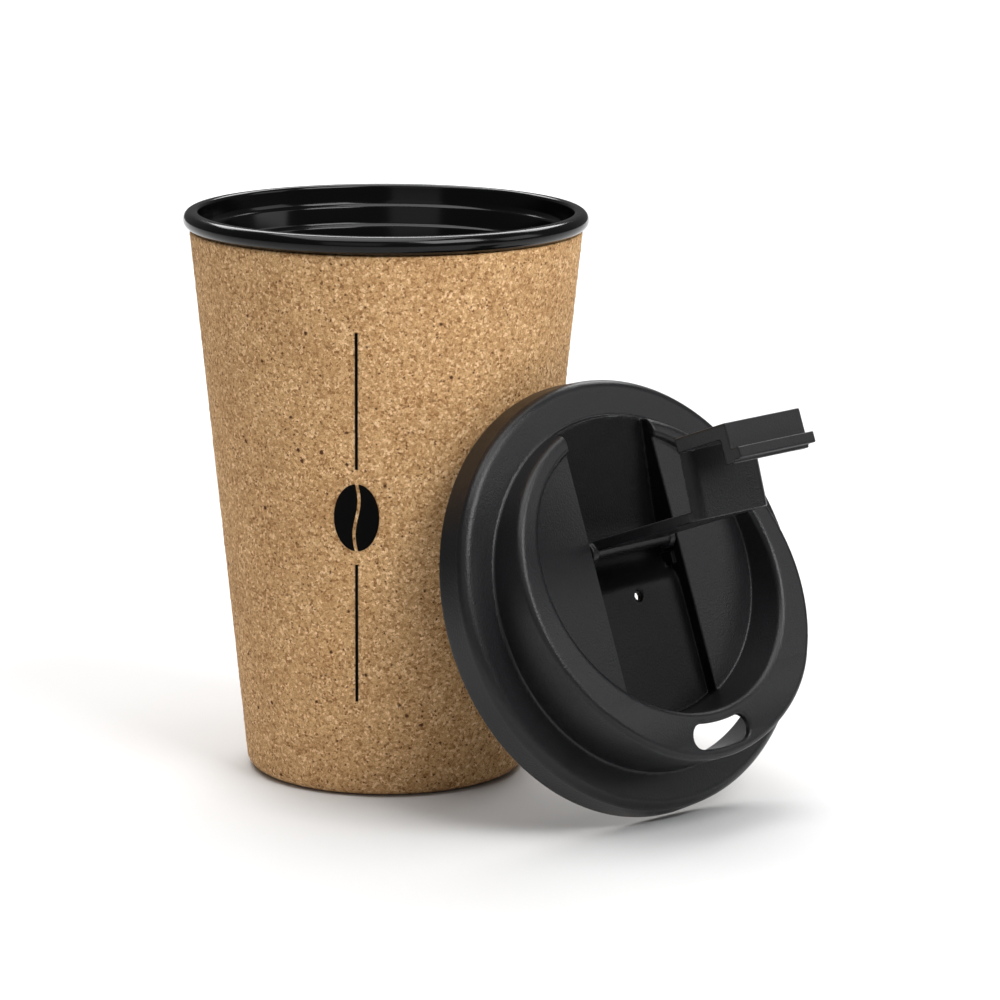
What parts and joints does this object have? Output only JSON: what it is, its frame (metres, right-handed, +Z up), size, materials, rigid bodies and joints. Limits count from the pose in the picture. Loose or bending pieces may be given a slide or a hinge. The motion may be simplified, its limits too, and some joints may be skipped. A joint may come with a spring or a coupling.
{
  "type": "travel cup",
  "caption": "Tapered cork-clad travel cup with a black liner, and its press-on lid leaning against it, flip tab raised over a curved drinking slot.",
  "frame": {"origin": "centre of the cup's flat base, on the surface the cup and the lid stand on", "axes": "+Z up the cup's axis; the lid stands on its edge on the -Y side, its top facing -Y and tipped upward, +X to the right when facing the lid"},
  "size_m": [0.1119, 0.1524, 0.1262],
  "materials": {
    "cork": "fine pressed cork granules, matt",
    "liner_plastic": "glossy black",
    "lid_plastic": "satin black, finely textured",
    "seal": "soft matt black"
  },
  "bodies": {
    "cup": {"cork_body": "cork", "inner_liner": "liner_plastic"},
    "lid": {"lid_shell": "lid_plastic", "lid_gasket": "seal"},
    "tab": {"flip_tab": "lid_plastic"}
  },
  "joints": [
    {"name": "lid_lift_off", "type": "slide", "parent": "cup", "child": "lid", "axis": [0, -0.9363, 0.3512], "range_m": [0, 0.15]},
    {"name": "flip_tab_hinge", "type": "hinge", "parent": "lid", "child": "tab", "pos_m": [0.01837, -0.06069, 0.05775], "axis": [-0.9995, -0.0114, -0.0304], "range_deg": [-90, 65]}
  ]
}
